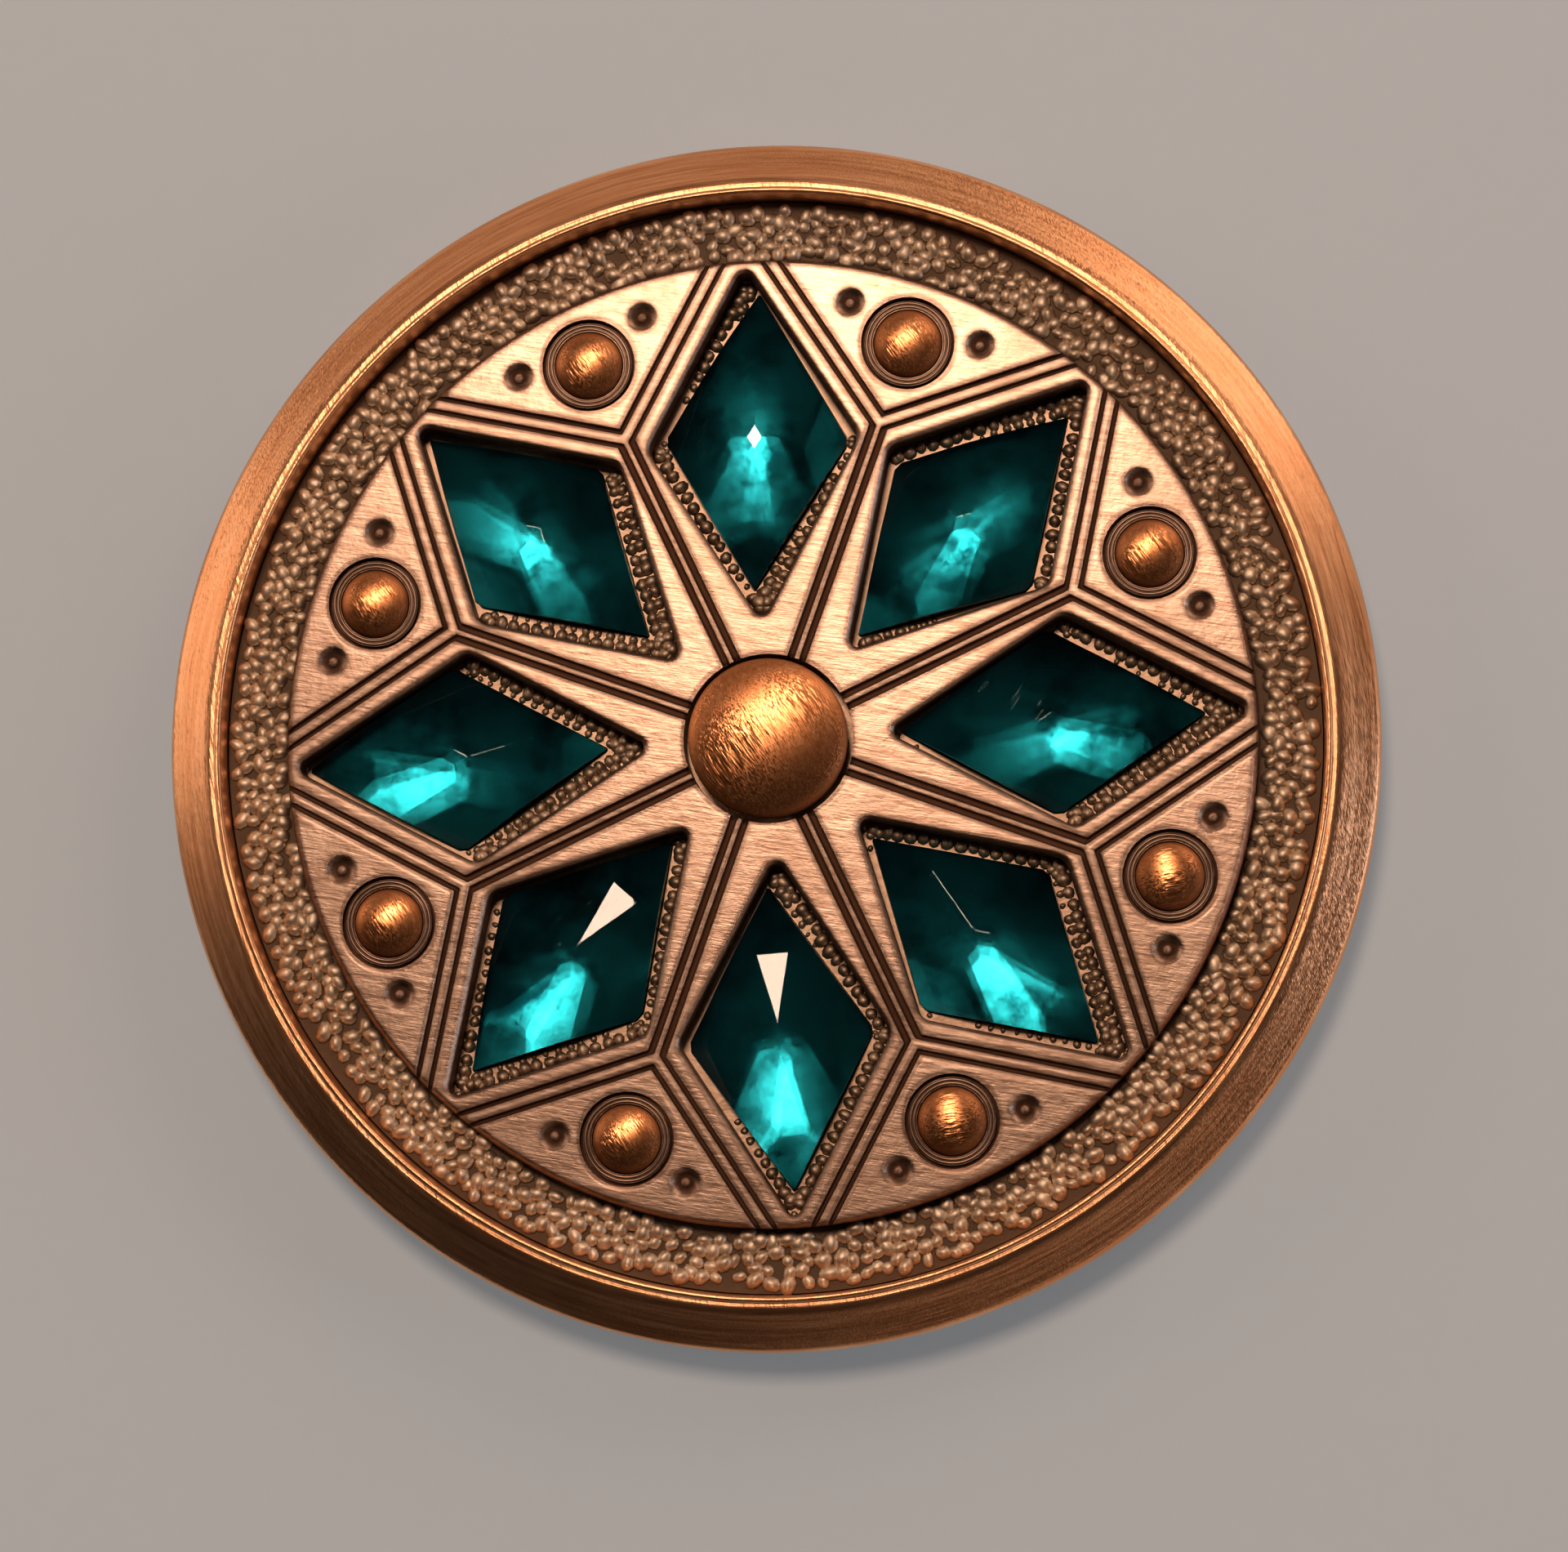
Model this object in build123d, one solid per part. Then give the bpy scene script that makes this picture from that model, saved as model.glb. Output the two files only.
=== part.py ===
from build123d import *
from math import atan2, cos, degrees, hypot, radians, sin, tan
import os

# Round concho: a ring round a base plate, a star plate with lozenge wells,
# faceted stones, small studs, a centre dome and a tapped boss in the back.
# Millimetres. The origin is under the middle, on the plane that the rim stands on.

# Clearance between pieces that seat on or in each other
seat_gap = 0.04

# Star layout
star_points = 8

# Faceted stone
stone_length = 10.0
stone_width = 6.14
stone_tip_blunt = 0.05
stone_corner_blunt = 0.10
crown_height = 0.48
girdle_height = 0.62
pavilion_height = 0.68
long_facet_start = 0.50
facet_line_reach = 2.78
facet_line_width = 1.04
corner_facet_start = 0.80
upper_facet_slope = 11.3
tip_facet_slope = 13.5
corner_facet_slope = 21.0
pavilion_slope = 26.6

# Where each stone lies in its well, going clockwise from the top. Columns:
# along the well as a share of its spare length, across it as a share of its
# spare width, both outward and clockwise, then the turn in degrees.
stone_seats = [
    {"along": 0.22, "across": 0.15, "turn": 4.0},
    {"along": -0.30, "across": 0.00, "turn": 2.0},
    {"along": -0.52, "across": -0.15, "turn": 0.0},
    {"along": -0.20, "across": 0.45, "turn": 0.5},
    {"along": -0.05, "across": 0.40, "turn": -2.0},
    {"along": -0.20, "across": 0.35, "turn": -0.6},
    {"along": 0.58, "across": 0.10, "turn": -0.7},
    {"along": 0.55, "across": -0.10, "turn": 0.3},
]

# Well round each stone
well_spare_length = 2.0
well_spare_width = 0.90
well_tip_radius = 0.28
well_side_radius = 0.50
well_edge_chamfer = 0.14
girdle_rise = 0.60

# Star plate
star_thickness = 1.21
star_rim_chamfer = 0.16
frame_width = 0.54
side_frame_width = 0.237
hub_width = 1.05
tip_land = 0.15
groove_width = 0.22
groove_depth = 0.24
ridge_width = 0.13
fork_ridge_width = 0.27
ridge_drop = 0.03
groove_wall_slope = 0.05

# Studs and their recesses
stud_radius = 1.12
stud_height = 0.86
stud_shoulder_radius = 0.48
stud_skirt = 0.12
stud_inset = 2.12
stud_pocket_depth = 0.30
stud_land_width = 0.27
stud_land_drop = 0.08
stud_groove_width = 0.12

# Dimples beside each stud
dimple_radius = 0.50
dimple_depth = 0.22
dimple_bump_radius = 0.17
dimple_gap = 0.23
dimple_step = 0.69

# Centre dome
dome_radius = 2.62
dome_height = 1.62
dome_shoulder_radius = 1.10
dome_skirt = 0.30
dome_gap = 0.18

# Base plate
pocket_floor = 0.32
channel_width = 2.15
channel_rise = 0.40

# Ring
ring_width = 1.85
ring_height = 3.40
ring_top_drop = 0.76
ring_bead_width = 0.24
ring_bead_rise = 0.12
ring_edge_radius = 0.30
ring_foot_chamfer = 0.25
ring_ledge_width = 0.90
ring_ledge_height = 0.75

# Tapped boss, for an 8-32 screw
tapped_radius = 1.73
tapped_depth = 2.00
boss_wall = 0.72
boss_flange_width = 1.10
boss_back_drop = 0.60

# Star sizes worked out from the stones
half_step = radians(180.0 / star_points)
groove_half = groove_width + ridge_width / 2.0
well_half_length = (stone_length + well_spare_length) / 2.0
well_half_width = (stone_width + well_spare_width) / 2.0
dome_hole_radius = dome_radius + dome_gap
hub_limit = dome_hole_radius + hub_width + well_half_length
neighbour_limit = (well_half_width + (side_frame_width + groove_half) / cos(half_step)) / tan(half_step)
well_radius = max(hub_limit, neighbour_limit)
star_radius = well_radius + well_half_length + tip_land
stud_circle = star_radius - stud_inset

# Radii outside the star
channel_radius = star_radius + channel_width
ring_radius = channel_radius + ring_width
base_radius = channel_radius - seat_gap

# Levels
base_under = ring_ledge_height + seat_gap
pocket_depth = girdle_height + pavilion_height - girdle_rise + seat_gap
well_floor = base_under + pocket_floor + pocket_depth
channel_floor = well_floor + channel_rise
star_under = well_floor + seat_gap
star_top = star_under + star_thickness
girdle_top = well_floor + girdle_rise
boss_top = base_under - boss_back_drop + tapped_depth + boss_wall
boss_radius = tapped_radius + boss_wall
cut_over = 1.0


def prism(outline, bottom, top):
    """Stand a flat outline up between two levels."""
    return extrude(Plane.XY.offset(bottom) * outline, top - bottom)


def disc(radius, bottom, top):
    """Make a plain disc between two levels."""
    return prism(Circle(radius), bottom, top)


def domed(radius, skirt, rise, shoulder_radius, bottom):
    """Make a round button: a short skirt, a round shoulder and a flatter cap on top."""
    foot = bottom + skirt
    inset = radius - shoulder_radius
    cap_radius = (inset ** 2 + rise ** 2 - shoulder_radius ** 2) / (2.0 * (rise - shoulder_radius))
    cap_level = foot + rise - cap_radius
    bend = degrees(atan2(foot - cap_level, inset))
    side = Polyline((0, foot + rise), (0, bottom), (radius, bottom), (radius, foot))
    shoulder = CenterArc((inset, foot), shoulder_radius, 0, bend)
    cap = CenterArc((0, cap_level), cap_radius, bend, 90.0 - bend)
    return revolve(Plane.XZ * make_face(side + shoulder + cap), Axis.Z)


def spun(points):
    """Turn a closed profile of radius and level about the middle."""
    profile = Plane.XZ * make_face(Polyline(*points, close=True))
    return revolve(profile, Axis.Z)


def star_azimuth(index):
    """Give the direction of a star point, clockwise from the top."""
    return 90.0 - index * 360.0 / star_points


def lozenge(half_length, half_width):
    """Make a lozenge with sharp corners, long along X."""
    return Polygon(
        (half_length, 0),
        (0, half_width),
        (-half_length, 0),
        (0, -half_width),
        align=None,
    )


def well_outline(grow):
    """Make a well's rounded outline, let out all round by a given width."""
    slant = hypot(well_half_length, well_half_width)
    half_length = well_half_length + grow * slant / well_half_width
    half_width = well_half_width + grow * slant / well_half_length
    face = lozenge(half_length, half_width)
    tips = face.vertices().sort_by(Axis.X)
    face = fillet([tips[0], tips[-1]], well_tip_radius + grow)
    sides = [corner for corner in face.vertices() if abs(corner.X) < 0.5 * well_half_width]
    return fillet(sides, well_side_radius + grow)


def well_cutter():
    """Cut one well through the star plate, with a bevel at its top edge."""
    through = prism(well_outline(0.0), star_under - cut_over, star_top + cut_over)
    low = Plane.XY.offset(star_top - well_edge_chamfer) * well_outline(0.0)
    high = Plane.XY.offset(star_top) * well_outline(well_edge_chamfer)
    bevel = loft([low.face(), high.face()])
    return Pos(well_radius, 0, 0) * (through + bevel)


def line_turn(start, end):
    """Give the turn in degrees of a line between two plan points."""
    return degrees(atan2(end[1] - start[1], end[0] - start[0]))


def bar(start, end, half_top, half_foot, low, high):
    """Make a straight bar whose width changes from its foot to its top."""
    length = hypot(end[0] - start[0], end[1] - start[1])
    section = Polygon(
        (-half_foot, low),
        (half_foot, low),
        (half_top, high),
        (-half_top, high),
        align=None,
    )
    solid = extrude(Plane.YZ * section, length)
    return Pos(start[0], start[1], 0) * Rot(0, 0, line_turn(start, end)) * solid


def cone_between(radius_top, radius_foot, low, high):
    """Make a short round plug whose radius changes from foot to top."""
    return Pos(0, 0, (low + high) / 2.0) * Cone(radius_foot, radius_top, high - low)


def junction_point():
    """Find where a spoke forks, half a step clockwise from a star point."""
    slant = hypot(well_half_length, well_half_width)
    offset = (frame_width + groove_half) * slant / well_half_length
    fall = well_half_width / well_half_length
    level = well_half_width + offset + fall * well_radius
    across = level / (tan(half_step) + fall)
    return across, across * tan(half_step)


def fork_end():
    """Find where a fork leaves the star plate, beside the point on +X."""
    x, y = junction_point()
    fall = well_half_width / well_half_length
    reach = star_radius + cut_over
    return reach, y - fall * (reach - x)


def line_set(spoke_half, fork_half, foot_spread, low, high):
    """Lay bars along every spoke and fork of the star, each wider at its foot by a spread."""
    fork = junction_point()
    end = fork_end()
    start_radius = dome_radius / 2.0
    start = (start_radius * cos(half_step), start_radius * sin(half_step))
    fork_foot = fork_half + foot_spread
    knot = Pos(fork[0], fork[1], 0) * cone_between(fork_half, fork_foot, low, high)
    one = [
        bar(start, fork, spoke_half, spoke_half + foot_spread, low, high),
        bar(fork, end, fork_half, fork_foot, low, high),
        knot,
    ]
    mirrored = bar((fork[0], -fork[1]), (end[0], -end[1]), fork_half, fork_foot, low, high)
    bars = []
    for index in range(star_points):
        turn = Rot(0, 0, star_azimuth(index))
        bars += [turn * piece for piece in one]
        bars.append(turn * mirrored)
    return bars


def stud_places():
    """List the plan places of the studs, half a step from the star points."""
    places = []
    for index in range(star_points):
        turn = star_azimuth(index) - degrees(half_step)
        places.append(Rot(0, 0, turn) * Pos(stud_circle, 0, 0))
    return places


def stud_recess():
    """Cut the pocket, the sunk land and the fine groove round one stud."""
    pocket_radius = stud_radius + seat_gap
    land_radius = pocket_radius + stud_land_width
    rim_radius = land_radius + stud_groove_width
    floor = star_top - stud_pocket_depth
    pocket = disc(pocket_radius, floor, star_top + cut_over)
    land = disc(rim_radius, star_top - stud_land_drop, star_top + cut_over)
    groove = disc(rim_radius, floor, star_top) - disc(land_radius, floor - cut_over, star_top)
    return pocket + land + groove


def dimple_cutters():
    """Cut the two bowl-shaped dimples beside one stud, a bump left in each."""
    bowl_radius = (dimple_radius ** 2 + dimple_depth ** 2) / (2.0 * dimple_depth)
    bottom = star_top - dimple_depth
    bowl = Pos(0, 0, bottom + bowl_radius) * Sphere(bowl_radius)
    bowl &= disc(dimple_radius * 2.0, bottom - cut_over, star_top + dimple_depth / 2.0)
    bump = Pos(0, 0, bottom) * Sphere(dimple_bump_radius)
    cutter = bowl - bump
    rim_radius = stud_radius + seat_gap + stud_land_width + stud_groove_width
    reach = rim_radius + dimple_gap + dimple_radius
    return [Pos(dimple_step, side * reach, 0) * cutter for side in (-1, 1)]


def make_star_plate():
    """Make the star plate with its wells, lines, recesses and dimples."""
    rim = [
        (0, star_under),
        (star_radius, star_under),
        (star_radius, star_top - star_rim_chamfer),
        (star_radius - star_rim_chamfer, star_top),
        (0, star_top),
    ]
    plate = spun(rim)
    floor = star_top - groove_depth
    edge = groove_half + groove_wall_slope
    plate -= line_set(edge, edge, -groove_wall_slope, floor, star_top + groove_wall_slope)
    crest = star_top - ridge_drop
    ridges = line_set(ridge_width / 2.0, fork_ridge_width / 2.0, groove_wall_slope, floor, crest)
    inside = spun(rim)
    plate += [ridge & inside for ridge in ridges]
    plate -= disc(dome_hole_radius, star_under - cut_over, star_top + cut_over)
    cutter = well_cutter()
    plate -= [Rot(0, 0, star_azimuth(index)) * cutter for index in range(star_points)]
    recess = stud_recess()
    dimples = dimple_cutters()
    for place in stud_places():
        plate -= place * recess
        plate -= [place * dimple for dimple in dimples]
    return plate


def facet_plane(azimuth, reach, slope, level, side):
    """Give a facet's plane: it meets a level at a reach, and tilts inward."""
    flat = cos(radians(slope))
    lean = sin(radians(slope))
    turn = radians(azimuth)
    normal = (lean * cos(turn), lean * sin(turn), side * flat)
    point = (reach * cos(turn), reach * sin(turn), level)
    return Plane(origin=point, z_dir=normal)


def stone_facets():
    """List a stone's facets as azimuth, reach at the girdle, slope and side.

    Four upper facets rise from the girdle to two ridges, along and across the
    stone, and the table cuts off the point where these meet. A long facet and
    a tip facet cut down the ridge at each end, and a corner facet at each side.
    """
    half_length = stone_length / 2.0
    half_width = stone_width / 2.0
    slant = hypot(half_length, half_width)
    side_reach = half_length * half_width / slant
    side_azimuth = degrees(atan2(half_length, half_width))
    unit = (half_width / slant, half_length / slant)
    rise = tan(radians(upper_facet_slope))
    line_reach = facet_line_reach * unit[0] + facet_line_width / 2.0 * unit[1]
    line_level = rise * (side_reach - line_reach)
    tip_reach = facet_line_reach + line_level / tan(radians(tip_facet_slope))
    start_level = rise * (side_reach - long_facet_start * unit[0])
    long_slope = degrees(atan2(start_level - line_level, facet_line_reach - long_facet_start))
    long_reach = facet_line_reach + line_level / tan(radians(long_slope))
    corner_level = rise * (side_reach - corner_facet_start * unit[1])
    corner_reach = corner_facet_start + corner_level / tan(radians(corner_facet_slope))
    facets = []
    for mirror in (side_azimuth, 180.0 - side_azimuth, 180.0 + side_azimuth, -side_azimuth):
        facets.append((mirror, side_reach, upper_facet_slope, 1))
        facets.append((mirror, side_reach, pavilion_slope, -1))
    for end in (0.0, 180.0):
        facets.append((end, long_reach, long_slope, 1))
        facets.append((end, tip_reach, tip_facet_slope, 1))
        facets.append((end + 90.0, corner_reach, corner_facet_slope, 1))
    return facets


def stone_blank(grow, bottom, top):
    """Make a lozenge prism with blunt corners, let out by a given width."""
    slant = hypot(stone_length, stone_width)
    half_length = stone_length / 2.0 + grow * slant / stone_width
    half_width = stone_width / 2.0 + grow * slant / stone_length
    reach = stone_length / 2.0 - stone_tip_blunt + grow
    spread = stone_width / 2.0 - stone_corner_blunt + grow
    outline = lozenge(half_length, half_width) & Rectangle(2.0 * reach, 2.0 * spread)
    return prism(outline, bottom, top)


def make_stone():
    """Cut one stone, its girdle's upper edge at level zero."""
    stone = stone_blank(0.0, -girdle_height - pavilion_height, crown_height)
    for azimuth, reach, slope, side in stone_facets():
        level = 0.0 if side > 0 else -girdle_height
        plane = facet_plane(azimuth, reach, slope, level, side)
        stone = split(stone, bisect_by=plane, keep=Keep.BOTTOM)
    return stone


def stone_place(index, level):
    """Give the place of a stone, or of its pocket, at a level."""
    seat = stone_seats[index % len(stone_seats)]
    along = well_radius + seat["along"] * well_spare_length / 2.0
    across = -seat["across"] * well_spare_width / 2.0
    well = Rot(0, 0, star_azimuth(index))
    return well * Pos(along, across, level) * Rot(0, 0, -seat["turn"])


def make_base_plate():
    """Make the base plate: a channel round the star plate's seat."""
    bore = boss_radius + seat_gap
    plate = disc(base_radius, base_under, channel_floor)
    plate -= disc(star_radius + seat_gap, well_floor, channel_floor + cut_over)
    plate -= disc(bore, base_under - cut_over, channel_floor)
    pocket = stone_blank(seat_gap, -pocket_depth, cut_over)
    plate -= [stone_place(index, well_floor) * pocket for index in range(star_points)]
    return plate


def make_ring():
    """Make the outer ring with its bead, rounded edge and inner ledge."""
    inner = channel_radius
    bead_top = ring_height + ring_bead_rise
    bead_out = inner + ring_bead_width
    ledge_in = inner - ring_ledge_width
    outer_top = ring_height - ring_top_drop
    profile = make_face(
        Polyline(
            (ledge_in, 0),
            (ring_radius - ring_foot_chamfer, 0),
            (ring_radius, ring_foot_chamfer),
            (ring_radius, outer_top),
            (bead_out, ring_height),
            (bead_out, bead_top),
            (inner, bead_top),
            (inner, ring_ledge_height),
            (ledge_in, ring_ledge_height),
            close=True,
        )
    )
    corners = profile.vertices()
    edge = corners.sort_by_distance((ring_radius, outer_top))[0]
    profile = fillet(edge, ring_edge_radius)
    bead_corners = [
        profile.vertices().sort_by_distance((bead_out, bead_top))[0],
        profile.vertices().sort_by_distance((inner, bead_top))[0],
    ]
    profile = fillet(bead_corners, 0.45 * min(ring_bead_width, ring_bead_rise * 2.0))
    return revolve(Plane.XZ * profile, Axis.Z)


def make_boss():
    """Make the flanged boss whose tapped hole opens at the back."""
    mouth = base_under - boss_back_drop
    boss = disc(boss_radius, mouth, boss_top)
    boss += disc(boss_radius + boss_flange_width, mouth, base_under - seat_gap)
    return boss - disc(tapped_radius, mouth - cut_over, mouth + tapped_depth)


def make_dome():
    """Make the centre dome, which stands on the boss through the hub hole."""
    return domed(dome_radius, dome_skirt, dome_height, dome_shoulder_radius, boss_top + seat_gap)


def make_studs():
    """Make the studs, each on the floor of its pocket."""
    floor = star_top - stud_pocket_depth + seat_gap
    stud = domed(stud_radius, stud_skirt, stud_height, stud_shoulder_radius, floor)
    return [place * stud for place in stud_places()]


def build_nodes():
    """Build every piece, by node name."""
    nodes = {
        "outer_ring": make_ring(),
        "base_plate": make_base_plate(),
        "star_plate": make_star_plate(),
        "centre_dome": make_dome(),
        "screw_boss": make_boss(),
    }
    stone = make_stone()
    for index in range(star_points):
        nodes[f"stone_{index + 1}"] = stone_place(index, girdle_top) * stone
    for index, stud in enumerate(make_studs()):
        nodes[f"stud_{index + 1}"] = stud
    return nodes


os.makedirs("parts", exist_ok=True)
for name, piece in build_nodes().items():
    export_step(piece, f"parts/{name}.step")
    box = piece.bounding_box()
    print(name, round(piece.volume, 3), [round(value, 3) for value in (*box.min, *box.max)])
print("ring radius", round(ring_radius, 3), "well radius", round(well_radius, 3))
print("star radius", round(star_radius, 3), "junction", [round(v, 3) for v in junction_point()])
print("levels", round(well_floor, 3), round(channel_floor, 3), round(star_top, 3), round(boss_top, 3))
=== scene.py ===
"""Visual model of the round concho: finishes, fine relief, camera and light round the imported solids."""

import sys

import logging
import math
from dataclasses import dataclass, field, replace
from enum import Enum
from typing import Any, Sequence

import bmesh
import bpy
import numpy as np
from mathutils import Matrix, Vector


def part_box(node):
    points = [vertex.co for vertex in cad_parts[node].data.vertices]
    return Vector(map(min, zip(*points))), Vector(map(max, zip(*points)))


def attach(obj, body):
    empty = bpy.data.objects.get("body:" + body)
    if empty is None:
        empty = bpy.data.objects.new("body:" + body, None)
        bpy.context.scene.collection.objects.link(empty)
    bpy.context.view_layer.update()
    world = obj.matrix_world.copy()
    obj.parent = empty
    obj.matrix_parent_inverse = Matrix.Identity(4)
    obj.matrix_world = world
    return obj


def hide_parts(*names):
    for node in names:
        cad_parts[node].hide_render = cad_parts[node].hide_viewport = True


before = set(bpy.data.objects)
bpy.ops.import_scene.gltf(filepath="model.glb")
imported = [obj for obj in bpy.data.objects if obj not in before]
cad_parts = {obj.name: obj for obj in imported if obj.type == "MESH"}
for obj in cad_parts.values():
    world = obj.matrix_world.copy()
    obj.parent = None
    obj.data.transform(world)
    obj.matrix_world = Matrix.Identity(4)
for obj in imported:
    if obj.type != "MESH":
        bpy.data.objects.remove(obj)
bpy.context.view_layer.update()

MM = 0.001
BODY = "root"
WELD = 1e-7
CUT_SNAP = 1e-8
ON_AXIS = 1e-6
SPREAD_GAIN = 9.0
CLOUDS_A_METRE = 260.0
SPECKS_A_METRE = 2600.0
LUMPS_A_METRE = 900.0
SAND_A_METRE = 4200.0
log = logging.getLogger("concho")

Colour = tuple[float, float, float, float]
Point = tuple[float, float]


def colour(red: float, green: float, blue: float) -> Colour:
    """Give an opaque linear colour."""
    return (red, green, blue, 1.0)


# Node trees


@dataclass(frozen=True)
class Signal:
    """An output socket that is used like a number in an expression."""

    graph: "NodeGraph"
    socket: bpy.types.NodeSocket

    def _math(self, operation: str, *values: Any) -> "Signal":
        """Add one Math node over the given values, in order."""
        return self.graph.node("ShaderNodeMath", {"operation": operation}, dict(enumerate(values)))

    def __add__(self, other: Any) -> "Signal":
        """Add."""
        return self._math("ADD", self, other)

    __radd__ = __add__

    def __mul__(self, other: Any) -> "Signal":
        """Multiply."""
        return self._math("MULTIPLY", self, other)

    __rmul__ = __mul__

    def __sub__(self, other: Any) -> "Signal":
        """Subtract."""
        return self._math("SUBTRACT", self, other)

    def __rsub__(self, other: Any) -> "Signal":
        """Subtract from a number."""
        return self._math("SUBTRACT", other, self)

    def __truediv__(self, other: Any) -> "Signal":
        """Divide."""
        return self._math("DIVIDE", self, other)

    def root(self) -> "Signal":
        """Take the square root."""
        return self._math("SQRT", self)

    def most(self, other: Any) -> "Signal":
        """Take the larger of two values."""
        return self._math("MAXIMUM", self, other)

    def ramp(self, start: float, end: float) -> "Signal":
        """Turn a range into a smooth step.

        Args:
            start: The value that gives 0.
            end: The value that gives 1; it may be below start.

        Returns:
            A value from 0 to 1.
        """
        flip = start > end
        low, high = (end, start) if flip else (start, end)
        values = {"Value": self, "From Min": low, "From Max": high}
        step = self.graph.node("ShaderNodeMapRange", {"interpolation_type": "SMOOTHSTEP"}, values)
        return 1.0 - step if flip else step

    def beside(self, output: str) -> "Signal":
        """Take another output of the same node."""
        return Signal(self.graph, self.socket.node.outputs[output])


class NodeGraph:
    """A node tree, of a material or of Geometry Nodes, that is filled by expressions."""

    def __init__(self, tree: bpy.types.NodeTree) -> None:
        """Start on an empty tree."""
        self.tree = tree
        tree.nodes.clear()

    def node(
        self,
        kind: str,
        settings: dict[str, Any] | None = None,
        values: dict[str | int, Any] | None = None,
        output: str | int = 0,
    ) -> Signal:
        """Add one node.

        Args:
            kind: The node's type.
            settings: Its properties, set before its sockets.
            values: A value or a signal for each named or numbered input.
            output: The output to return.

        Returns:
            The chosen output.
        """
        made = self.tree.nodes.new(kind)
        for name, value in (settings or {}).items():
            setattr(made, name, value)
        for name, value in (values or {}).items():
            if isinstance(value, Signal):
                self.tree.links.new(value.socket, made.inputs[name])
            else:
                made.inputs[name].default_value = value
        return Signal(self, made.outputs[output] if len(made.outputs) else None)

    def mix(self, factor: Any, first: Any, second: Any) -> Signal:
        """Mix two colours by a factor."""
        settings = {"data_type": "RGBA", "clamp_factor": True}
        return self.node("ShaderNodeMix", settings, {0: factor, 6: first, 7: second}, 2)

    def noise(self, vector: Signal, scale: float, detail: float = 3.0, rough: float = 0.55) -> Signal:
        """Give a noise from 0 to 1 whose scale is in cycles a metre."""
        values = {"Vector": vector, "Scale": scale, "Detail": detail, "Roughness": rough}
        return self.node("ShaderNodeTexNoise", {}, values)

    def stretched(self, vector: Signal, scale: Sequence[float], turn: float = 0.0) -> Signal:
        """Turn a place about Z and scale it along each axis."""
        values = {"Vector": vector, "Rotation": (0.0, 0.0, turn), "Scale": tuple(scale)}
        return self.node("ShaderNodeMapping", {"vector_type": "TEXTURE"}, values)

    def vector(self, operation: str, values: dict[str | int, Any]) -> Signal:
        """Add one Vector Math node."""
        return self.node("ShaderNodeVectorMath", {"operation": operation}, values)

    def between(self, low: Any, high: Any, seed: Any) -> Signal:
        """Give each point a random number in a range."""
        values = {2: low, 3: high, "Seed": seed}
        return self.node("FunctionNodeRandomValue", {"data_type": "FLOAT"}, values, 1)


class SurfaceGraph(NodeGraph):
    """The node tree of a material with one principled shader."""

    def __init__(self, name: str) -> None:
        """Start a material of the given name."""
        self.material = bpy.data.materials.new(name)
        self.material.use_nodes = True
        super().__init__(self.material.node_tree)

    def place(self) -> Signal:
        """Give the point on the piece, in metres."""
        return self.node("ShaderNodeTexCoord", {}, {}, "Object")

    def bump(self, height: Signal, edge_radius: float = 0.0) -> Signal:
        """Raise the surface and round its edges, both in millimetres, and give the normal."""
        values: dict[str | int, Any] = {"Height": height, "Strength": 1.0, "Distance": MM}
        if edge_radius:
            radius = {"Radius": edge_radius * MM}
            values["Normal"] = self.node("ShaderNodeBevel", {"samples": 4}, radius)
        return self.node("ShaderNodeBump", {}, values)

    def finish(self, values: dict[str | int, Any]) -> bpy.types.Material:
        """Add the shader with the given values and the output, and give the material."""
        shader = self.node("ShaderNodeBsdfPrincipled", {}, values)
        self.node("ShaderNodeOutputMaterial", {}, {"Surface": shader})
        return self.material


# Kinds of finish


class Grain(Enum):
    """How a metal surface was worked."""

    STRAIGHT = "brushed along the width"
    ROUND = "turned on a lathe"
    RUBBED = "rubbed by hand in arcs"
    CAST = "left as cast"


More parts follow.
